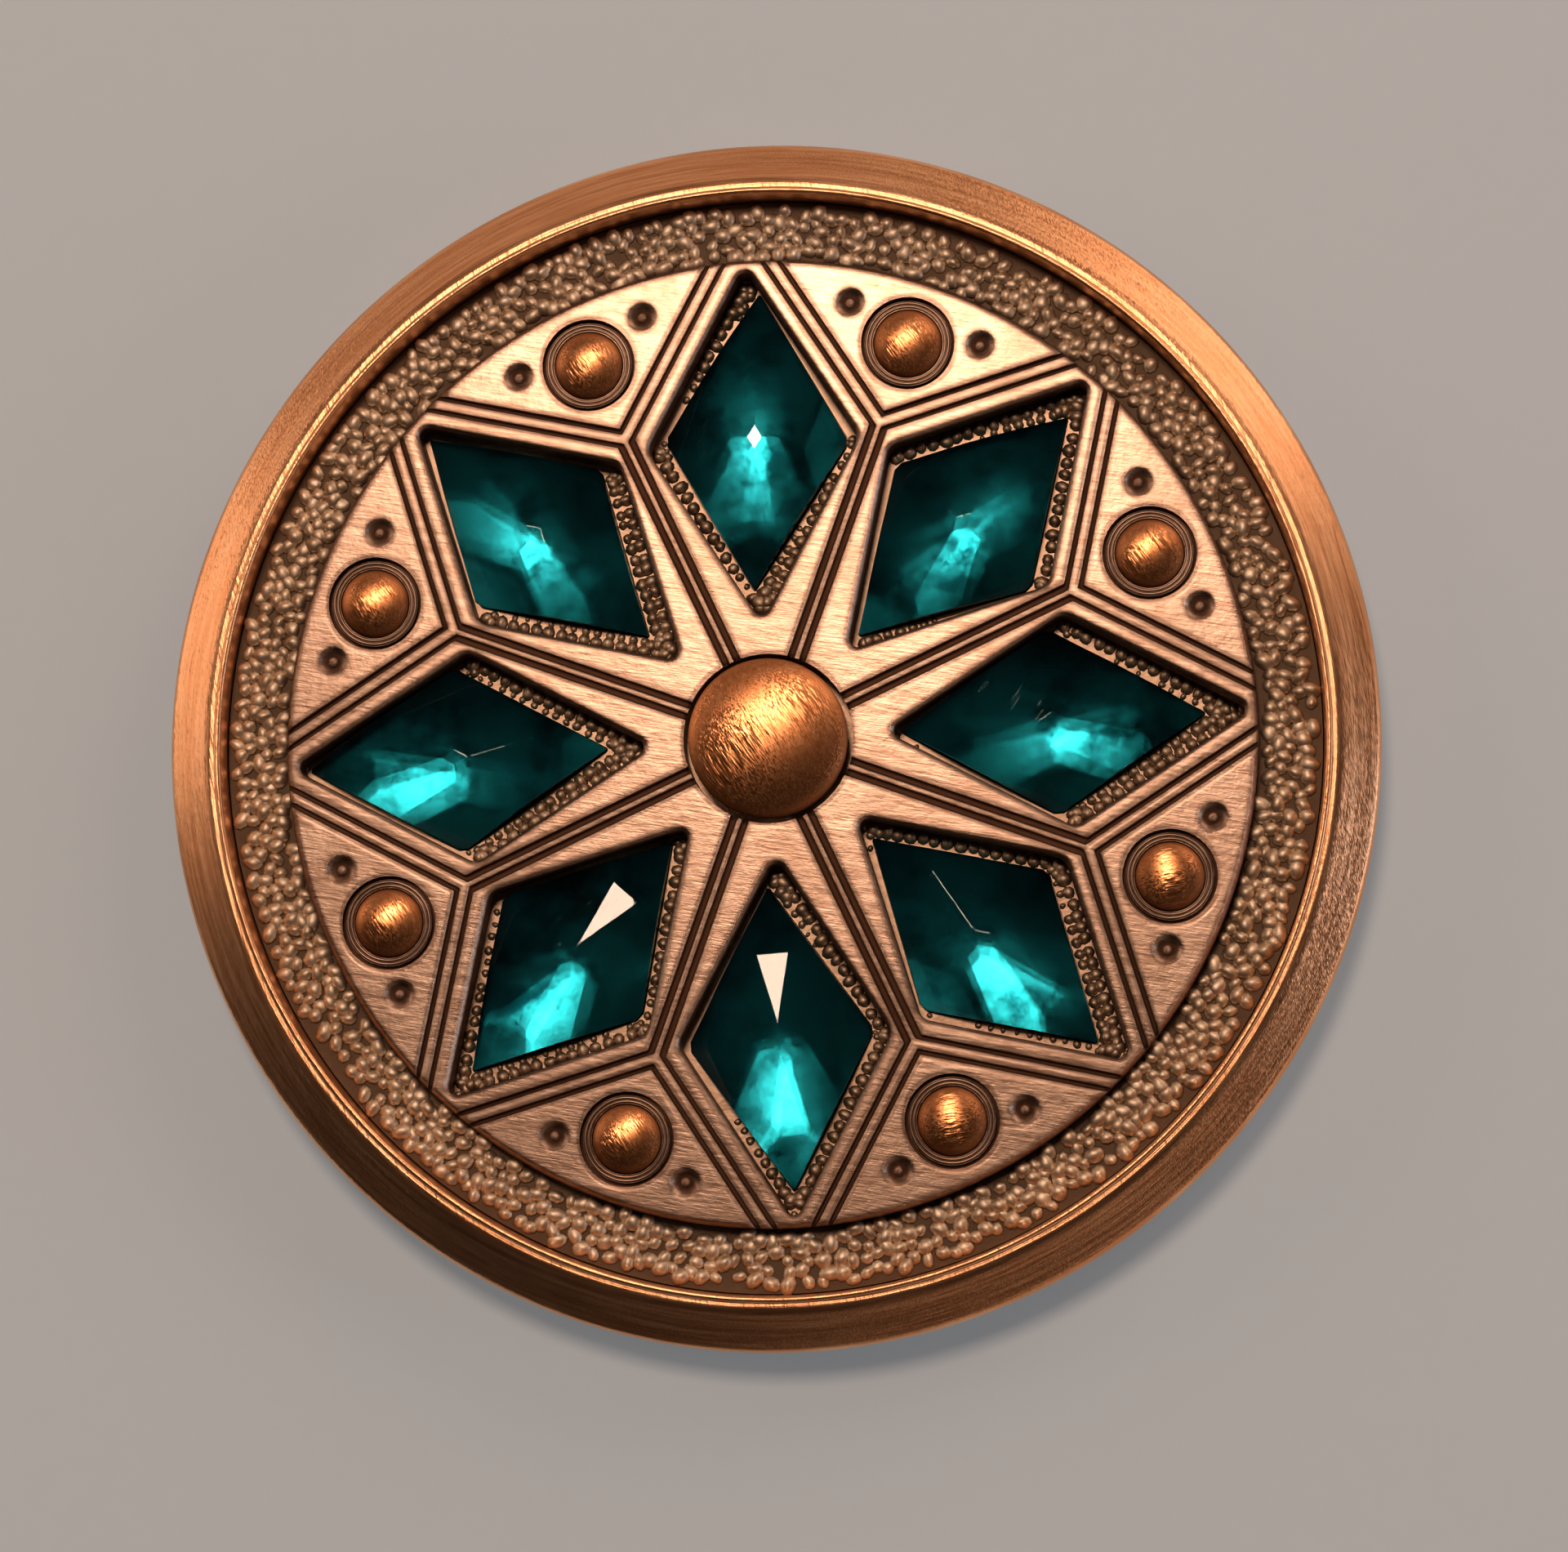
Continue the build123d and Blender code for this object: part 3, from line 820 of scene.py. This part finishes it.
@dataclass
class Grains:
    """A field of cast grains, laid by Geometry Nodes on points or on a surface."""

    name: str
    smallest: float
    largest: float
    stretch: float
    lumpiness: float
    seed: int
    spacing: float = 0.0
    rings: int = 3
    sides: int = 10
    rise: Point = (0.75, 1.15)
    foot: Point = (0.98, -0.25)
    lumps_a_metre: float = 3400.0
    most_a_metre: float = 4.0e7

    def grain_mesh(self) -> bpy.types.Mesh:
        """Make one low dome of unit radius, closed below."""
        profile = [(0.0, self.foot[1]), self.foot]
        profile += arc((0.0, 0.0), 1.0, 0.0, 90.0, self.rings)
        profile[-1] = (0.0, 1.0)
        return turned(self.name + "_unit", [[(r / MM, z / MM) for r, z in profile]] * self.sides, 180.0)

    def tree(self) -> bpy.types.NodeTree:
        """Build the node tree that lays and shapes the grains, with its sizes as named inputs."""
        made = bpy.data.node_groups.new(self.name, "GeometryNodeTree")
        inputs = {"Geometry": "Geometry", "Smallest": "Float", "Largest": "Float", "Stretch": "Float"}
        inputs |= {"Lumpiness": "Float", "Spacing": "Float", "Seed": "Int"}
        inputs |= {"Grain": "Object", "Finish": "Material"}
        for name, kind in inputs.items():
            made.interface.new_socket(name, in_out="INPUT", socket_type="NodeSocket" + kind)
        made.interface.new_socket("Geometry", in_out="OUTPUT", socket_type="NodeSocketGeometry")
        graph = NodeGraph(made)
        start = graph.node("NodeGroupInput", {}, {}, "Geometry")
        seed = start.beside("Seed")
        if self.spacing:
            method = {"distribute_method": "POISSON"}
            scatter = {"Mesh": start, "Distance Min": start.beside("Spacing"), "Seed": seed}
            scatter["Density Max"] = self.most_a_metre
            points = graph.node("GeometryNodeDistributePointsOnFaces", method, scatter, "Points")
            share = graph.between(start.beside("Smallest"), start.beside("Largest"), seed)
            long = graph.between(1.0, start.beside("Stretch"), seed + 1)
            turn = graph.between(0.0, math.pi, seed + 2)
        else:
            points = start
            share, long, turn = (
                graph.node("GeometryNodeInputNamedAttribute", {"data_type": "FLOAT"}, {"Name": name})
                for name in ("size", "long", "turn")
            )
        rise = graph.between(self.rise[0], self.rise[1], seed + 3)
        parts = {0: share * long, 1: share / long.root(), 2: share * rise}
        scale = graph.node("ShaderNodeCombineXYZ", {}, parts)
        angles = graph.node("ShaderNodeCombineXYZ", {}, {2: turn})
        unit = graph.node("GeometryNodeObjectInfo", {}, {"Object": start.beside("Grain")}, "Geometry")
        laying = {"Points": points, "Instance": unit, "Rotation": angles, "Scale": scale}
        laid = graph.node("GeometryNodeInstanceOnPoints", {}, laying)
        real = graph.node("GeometryNodeRealizeInstances", {}, {"Geometry": laid})
        place = graph.node("GeometryNodeInputPosition")
        noise = {"Vector": place, "Scale": self.lumps_a_metre, "Detail": 1.0}
        wobble = graph.node("ShaderNodeTexNoise", {}, noise, 1)
        centred = graph.vector("SUBTRACT", {0: wobble, 1: (0.5, 0.5, 0.5)})
        shift = graph.vector("SCALE", {0: centred, "Scale": start.beside("Lumpiness")})
        moved = graph.node("GeometryNodeSetPosition", {}, {"Geometry": real, "Offset": shift})
        smooth = graph.node("GeometryNodeSetShadeSmooth", {}, {"Geometry": moved})
        finish = {"Geometry": smooth, "Material": start.beside("Finish")}
        dressed = graph.node("GeometryNodeSetMaterial", {}, finish)
        graph.node("NodeGroupOutput", {}, {"Geometry": dressed})
        return made

    def build(self, carrier: bpy.types.Mesh, slot: str, material: bpy.types.Material) -> None:
        """Lay the grains on a mesh and dress the result.

        Args:
            carrier: The surface, or the points with size, long and turn.
            slot: The record's material slot; not used.
            material: The grains' material.
        """
        unit = new_object(self.name + "_unit", self.grain_mesh())
        piece = new_object(self.name, carrier)
        tree = self.tree()
        values = {"Stretch": self.stretch, "Seed": self.seed, "Grain": unit, "Finish": material}
        values |= {"Smallest": self.smallest * MM, "Largest": self.largest * MM}
        values |= {"Lumpiness": self.lumpiness * MM, "Spacing": self.spacing * MM}
        modifier = piece.modifiers.new(self.name, "NODES")
        modifier.node_group = tree
        for item in tree.interface.items_tree:
            if item.in_out == "INPUT" and item.name in values:
                modifier[item.identifier] = values[item.name]
        graph = bpy.context.evaluated_depsgraph_get()
        graph.update()
        mesh = bpy.data.meshes.new_from_object(piece.evaluated_get(graph))
        piece.modifiers.clear()
        mesh.materials.clear()
        piece.data = mesh
        bpy.data.objects.remove(unit)
        dress(piece, [material])


@dataclass
class Channel:
    """The granulated channel between the ring and the star."""

    margin: float = 0.20
    inset: float = 0.12
    steps: int = 180
    grains: Grains = field(
        default_factory=lambda: Grains(
            "channel_grains", 0.22, 0.33, 1.30, 0.12, seed=11, spacing=0.33, rise=(0.60, 0.95)
        )
    )

    def band(self) -> bpy.types.Mesh:
        """Make the flat band that carries the grains."""
        built = bmesh.new()
        inner = (LAYOUT.star_radius + self.margin) * MM
        outer = (LAYOUT.channel_radius - self.margin - self.inset) * MM
        level = LAYOUT.channel_floor * MM
        rings = []
        for step in range(self.steps):
            turn = math.radians(360.0 * step / self.steps)
            c, s = math.cos(turn), math.sin(turn)
            rings.append([built.verts.new((radius * c, radius * s, level)) for radius in (inner, outer)])
        for step, (near_in, near_out) in enumerate(rings):
            far_in, far_out = rings[(step + 1) % len(rings)]
            built.faces.new((near_in, near_out, far_out, far_in))
        return finish_mesh(built, "channel_band", 180.0)

    def build(self, material: bpy.types.Material) -> None:
        """Lay the channel's grains."""
        self.grains.build(self.band(), "dark_bronze", material)


@dataclass
class WellNuggets:
    """The rows of cast nuggets on the floor of each well, round its stone."""

    half_length: float = 6.0
    half_width: float = 3.52
    rows: tuple[float, ...] = (0.22, 0.52, 0.86)
    pitch: float = 0.40
    largest: float = 0.27
    clear: float = 0.035
    under_wall: float = 0.02
    smallest: float = 0.09
    along: float = 0.12
    across: float = 0.03
    share: Point = (0.75, 1.1)
    stretch: Point = (0.95, 1.25)
    seed: int = 5

    def build(self, cut: StoneCut, stones: Stones, material: bpy.types.Material) -> None:
        """Find the free places in every well and lay the nuggets.

        Args:
            cut: The stones' cut, for their outline.
            stones: The stones, for their places.
            material: The nuggets' material.
        """
        draw = np.random.default_rng(self.seed)
        outline = [Vector((x, y)) for x, y in cut.blank()]
        long, wide = self.half_length, self.half_width
        corners = [Vector(corner) for corner in ((long, 0.0), (0.0, wide), (-long, 0.0), (0.0, -wide))]
        places, sizes, longs, turns = [], [], [], []
        for index in range(LAYOUT.points):
            azimuth = math.radians(90.0 - 45.0 * index)
            well = Matrix.Rotation(azimuth, 4, "Z") @ Matrix.Translation((LAYOUT.well_radius, 0.0, 0.0))
            inverse = stones.place(f"stone_{index + 1}").inverted()
            for row in self.rows:
                for k, start in enumerate(corners):
                    run = corners[(k + 1) % 4] - start
                    inward = Vector((-run.y, run.x)).normalized()
                    count = int(run.length / self.pitch)
                    for step in range(count):
                        share = (step + 0.5 + draw.uniform(-self.along, self.along)) / count
                        offset = row + draw.uniform(-self.across, self.across)
                        spot = start + run * share + inward * offset
                        wall = -distance_outside(spot, corners)
                        world = well @ Vector((spot.x, spot.y, 0.0))
                        local = inverse @ Vector((world.x * MM, world.y * MM, 0.0)) / MM
                        gap = distance_outside(Vector((local.x, local.y)), outline)
                        most = self.largest * draw.uniform(*self.share)
                        size = min(most, gap - self.clear, wall + self.under_wall)
                        if size < self.smallest:
                            continue
                        places.append((world.x * MM, world.y * MM, LAYOUT.well_floor * MM))
                        sizes.append(size * MM)
                        longs.append(draw.uniform(*self.stretch) if gap > size * 1.3 else 1.0)
                        turns.append(azimuth + math.atan2(inward.y, inward.x))
        mesh = bpy.data.meshes.new("nugget_places")
        mesh.from_pydata(places, [], [])
        for name, values in (("size", sizes), ("long", longs), ("turn", turns)):
            mesh.attributes.new(name, "FLOAT", "POINT").data.foreach_set("value", values)
        log.info("well nuggets: %d", len(places))
        grains = Grains("well_nuggets", 0.0, 0.0, 1.0, 0.11, seed=23, sides=9)
        grains.build(mesh, "dark_bronze", material)


def distance_outside(spot: Vector, outline: Sequence[Vector]) -> float:
    """Give a point's distance outside a convex outline, negative inside it."""
    best, inside = 1e9, True
    for k, start in enumerate(outline):
        end = outline[(k + 1) % len(outline)]
        run = end - start
        share = min(1.0, max(0.0, (spot - start).dot(run) / run.length_squared))
        best = min(best, (spot - start - run * share).length)
        if run.x * (spot - start).y - run.y * (spot - start).x < 0.0:
            inside = False
    return -best if inside else best


@dataclass
class ScrewBoss:
    """The flanged boss in the back, with a cut thread in its hole."""

    bore: float = 1.73
    groove: float = 0.30
    pitch: float = 0.794
    depth: float = 2.00
    radius: float = 2.45
    flange: float = 1.10
    flange_top: float = 0.75
    bevel: float = 0.08
    run_out: float = 5.0
    steepness: float = 2.6
    segments: int = 48
    rows: int = 40

    def section(self, share: float, bottom: float, top: float) -> list[Point]:
        """List the boss's section after a share of a turn.

        Args:
            share: The share of a full turn.
            bottom: The level of the flange's underside.
            top: The level of the boss's top.

        Returns:
            Points from the top down the outside and up the thread.
        """
        reach = self.radius + self.flange
        points = [(0.0, top), (self.radius, top), (self.radius, self.flange_top)]
        points += [(reach, self.flange_top - self.bevel / 2.0), (reach, bottom + self.bevel)]
        points.append((reach - self.bevel, bottom))
        for row in range(self.rows + 1):
            level = bottom + self.depth * row / self.rows
            phase = (level / self.pitch - share) % 1.0
            fade = min(1.0, row / self.run_out, (self.rows - row) / self.run_out)
            cut = max(0.0, 1.0 - abs(phase - 0.5) * self.steepness) * self.groove * fade
            points.append((self.bore + cut, level))
        return [*points, (0.0, bottom + self.depth)]

    def build(self, material: bpy.types.Material) -> None:
        """Build the boss with its threaded bore and dress it."""
        low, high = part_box("screw_boss")
        steps = range(self.segments)
        sections = [self.section(step / self.segments, low.z / MM, high.z / MM) for step in steps]
        piece = new_object("threaded_boss", turned("threaded_boss", sections, 40.0))
        dress(piece, [material], ["screw_boss"])


# Camera and studio


@dataclass(frozen=True)
class CameraView:
    """The photograph's view, in millimetres and degrees."""

    tilt: float = 7.646
    towards: float = -51.36
    roll: float = 3.305
    shift: Point = (-0.5245, 1.2361)
    distance: float = 140.0
    lens: float = 97.948
    sensor: float = 36.0

    def build(self) -> None:
        """Make the camera and make it the scene's."""
        away = math.radians(self.towards)
        axis = Vector((-math.sin(away), math.cos(away), 0.0))
        roll = Matrix.Rotation(math.radians(self.roll), 3, "Z")
        turn = Matrix.Rotation(-math.radians(self.tilt), 3, axis) @ roll
        back = turn.transposed()
        data = bpy.data.cameras.new("view")
        data.lens, data.sensor_width = self.lens, self.sensor
        data.clip_start, data.clip_end = 0.01, 20.0
        camera = bpy.data.objects.new("view", data)
        place = back @ Vector((-self.shift[0], -self.shift[1], self.distance))
        place.z += LAYOUT.star_top
        camera.matrix_world = Matrix.Translation(place * MM) @ back.to_4x4()
        bpy.context.scene.collection.objects.link(camera)
        bpy.context.scene.camera = camera


@dataclass(frozen=True)
class Lamp:
    """A round soft lamp: tilt from the zenith and azimuth in degrees, distance and width in metres."""

    name: str
    tilt: float
    azimuth: float
    distance: float
    width: float
    power: float
    tone: tuple[float, float, float]

    def build(self) -> None:
        """Hang the lamp so that it faces the concho."""
        data = bpy.data.lights.new(self.name, "AREA")
        data.shape, data.size = "DISK", self.width
        data.energy, data.color = self.power, self.tone
        lamp = bpy.data.objects.new(self.name, data)
        away = heading(self.tilt, self.azimuth)
        lamp.location = away * self.distance + Vector((0.0, 0.0, LAYOUT.star_top * MM))
        lamp.rotation_mode = "QUATERNION"
        lamp.rotation_quaternion = away.to_track_quat("Z", "Y")
        bpy.context.scene.collection.objects.link(lamp)


@dataclass
class Studio:
    """A plain pale floor, soft lamps and a dim surround."""

    lamps: tuple[Lamp, ...]
    floor_radius: float = 1.2
    floor_tone: Colour = (0.52, 0.60, 0.64, 1.0)
    glow_tone: Colour = (0.80, 0.84, 0.88, 1.0)
    glow: float = 0.17
    fibre_shade: float = 0.96
    fibres_a_metre: float = 900.0
    low_sky: Colour = (0.56, 0.37, 0.27, 1.0)
    high_sky: Colour = (0.007, 0.006, 0.006, 1.0)
    bright_side: Point = (0.74, 0.67)

    def build(self) -> None:
        """Make the floor, the lamps and the world."""
        built = bmesh.new()
        bmesh.ops.create_circle(built, cap_ends=True, segments=96, radius=self.floor_radius)
        floor = new_object("floor", finish_mesh(built, "floor", 180.0))
        graph = SurfaceGraph("floor_paper")
        fibre = graph.noise(graph.place(), self.fibres_a_metre, 4.0, 0.6)
        darker = colour(*(self.fibre_shade * part for part in self.floor_tone[:3]))
        glow = {"Emission Color": self.glow_tone, "Emission Strength": self.glow}
        values = {"Base Color": graph.mix(fibre, self.floor_tone, darker), "Roughness": 0.85, **glow}
        floor.data.materials.append(graph.finish(values))
        for lamp in self.lamps:
            lamp.build()
        world = bpy.data.worlds.new("surround")
        world.use_nodes = True
        sky = NodeGraph(world.node_tree)
        way = sky.node("ShaderNodeTexCoord", {}, {}, "Generated")
        height = sky.node("ShaderNodeSeparateXYZ", {}, {0: way}, "Z")
        side = height.beside("X") * self.bright_side[0] + height.beside("Y") * self.bright_side[1]
        front = side.ramp(-0.15, -0.88)
        tone = sky.mix(height.ramp(0.32, 0.58).most(front), self.low_sky, self.high_sky)
        light = sky.node("ShaderNodeBackground", {}, {"Color": tone, "Strength": 1.0})
        sky.node("ShaderNodeOutputWorld", {}, {"Surface": light})
        bpy.context.scene.world = world


# The concho's own finishes


RING_COPPER = MetalFinish(
    name="brushed_copper",
    bright=colour(1.00, 0.57, 0.31),
    deep=colour(0.72, 0.34, 0.16),
    patina_and_shade=colour(0.10, 0.04, 0.02),
    grain=Grain.ROUND,
    patina_and_shade_from=2.60,
    patina_and_shade_full=1.00,
    roughness=0.33,
    lines=12.0,
    line_length=4.5,
    line_depth=0.010,
    pit_depth=0.006,
    stain=0.15,
    stroke=102.0,
    spread=0.10,
)
# Darkened below 3.04 mm, in the lines, wells, recesses and dimple bowls: patina with painted shade in these
# hollows.
PALE_BRONZE = MetalFinish(
    name="satin_bronze",
    bright=colour(0.58, 0.425, 0.325),
    deep=colour(0.27, 0.168, 0.112),
    patina_and_shade=colour(0.11, 0.055, 0.032),
    grain=Grain.STRAIGHT,
    patina_and_shade_from=3.04,
    patina_and_shade_full=2.92,
    roughness=0.30,
    lines=11.0,
    line_length=0.9,
    line_depth=0.009,
    pit_depth=0.008,
    stain=0.34,
    edge_radius=0.26,
    stroke=168.0,
)
# A darker copy of the plate's bronze for the collars: painted shade of the sunk land round each stud, with
# patina.
SHADED_COLLAR_BRONZE = MetalFinish(
    name="shaded_collar_bronze",
    bright=colour(0.36, 0.25, 0.18),
    deep=colour(0.22, 0.145, 0.10),
    patina_and_shade=colour(0.05, 0.03, 0.02),
    grain=Grain.CAST,
    patina_and_shade_from=3.06,
    patina_and_shade_full=3.00,
    roughness=0.34,
    stain=0.3,
)
# The domes darken from 3.68 mm down to their feet: painted shade at the rims, with patina.
DOME_COPPER = MetalFinish(
    name="rubbed_copper",
    bright=colour(1.00, 0.50, 0.235),
    deep=colour(0.82, 0.28, 0.085),
    patina_and_shade=colour(0.17, 0.06, 0.025),
    grain=Grain.RUBBED,
    patina_and_shade_from=3.68,
    patina_and_shade_full=3.00,
    roughness=0.29,
    lines=12.0,
    line_length=0.8,
    line_depth=0.003,
    pit_depth=0.002,
    stain=0.25,
    stroke=122.0,
    spread=0.34,
    flatten=1.10,
)
# The grains darken towards their feet on the channel floor: patina with painted shade between them.
GRAIN_BRONZE = MetalFinish(
    name="grain_bronze",
    bright=colour(0.96, 0.80, 0.61),
    deep=colour(0.58, 0.45, 0.32),
    patina_and_shade=colour(0.12, 0.08, 0.055),
    grain=Grain.CAST,
    patina_and_shade_from=2.36,
    patina_and_shade_full=2.21,
    roughness=0.50,
    pit_depth=0.012,
    stain=0.2,
)
# The nuggets darken towards the well floor: patina with painted shade between them.
NUGGET_BRONZE = replace(
    GRAIN_BRONZE,
    name="nugget_bronze",
    bright=colour(0.66, 0.51, 0.37),
    deep=colour(0.42, 0.31, 0.21),
    patina_and_shade=colour(0.13, 0.08, 0.05),
    patina_and_shade_from=1.97,
    patina_and_shade_full=1.84,
    pit_depth=0.010,
)
# The base darkens from 1.95 mm up to 2.20 mm, so the channel floor between the grains is dark: patina with
# painted shade between the grains.
BASE_BRONZE = MetalFinish(
    name="base_bronze",
    bright=colour(0.62, 0.45, 0.32),
    deep=colour(0.42, 0.28, 0.19),
    patina_and_shade=colour(0.17, 0.115, 0.075),
    grain=Grain.CAST,
    patina_and_shade_from=1.95,
    patina_and_shade_full=2.20,
    roughness=0.45,
    pit_depth=0.02,
    stain=0.3,
)

WARM = (1.0, 0.69, 0.52)
COOL = (0.72, 0.80, 1.0)
LAMPS = (
    Lamp("key", 17.5, 99.0, 0.34, 0.081, 0.42, WARM),
    Lamp("east", 64.0, 46.0, 0.42, 0.25, 0.29, WARM),
    Lamp("west", 69.0, 161.0, 0.42, 0.23, 0.19, WARM),
    Lamp("side", 76.0, -8.0, 0.45, 0.14, 0.16, COOL),
)


def main() -> None:
    """Build the studio and every piece of the concho in order."""
    logging.basicConfig(level=logging.INFO, format="%(message)s", stream=sys.stdout)
    bpy.context.scene.view_settings.view_transform = "Standard"
    CameraView().build()
    Studio(LAMPS).build()
    OuterRing().build(RING_COPPER)
    StarPlate().build(PALE_BRONZE)
    copper = DOME_COPPER.material()
    # The hub dome darkens from 4.40 mm down, over most of its height: painted shade towards its foot, with
    # patina.
    hub_copper = replace(DOME_COPPER, name="hub_copper", patina_and_shade_from=4.40, patina_and_shade_full=3.10).material()
    RoundCap("hub_dome", "centre_dome", 2.62, 1.62, 1.10, 96, 28).build(hub_copper)
    level_copper = replace(DOME_COPPER, name="level_copper", stroke=5.0).material()
    for index in range(LAYOUT.points):
        tone = level_copper if index in (2, 3) else copper
        RoundCap(f"stud_cap_{index + 1}", f"stud_{index + 1}", 1.12, 0.86, 0.48, 56, 16).build(tone)
    StudCollars().build(SHADED_COLLAR_BRONZE.material())
    cut = StoneCut()
    stones = Stones(cut)
    stones.build(GlassFinish().material(), FoilFinish().material())
    Channel().build(GRAIN_BRONZE.material())
    WellNuggets().build(cut, stones, NUGGET_BRONZE.material())
    base = BASE_BRONZE.material()
    ScrewBoss().build(base)
    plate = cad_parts["base_plate"]
    plate.data.materials.clear()
    plate.data.materials.append(base)
    log.info("base_plate: carried over with %s", base.name)


if __name__ == "__main__":
    main()
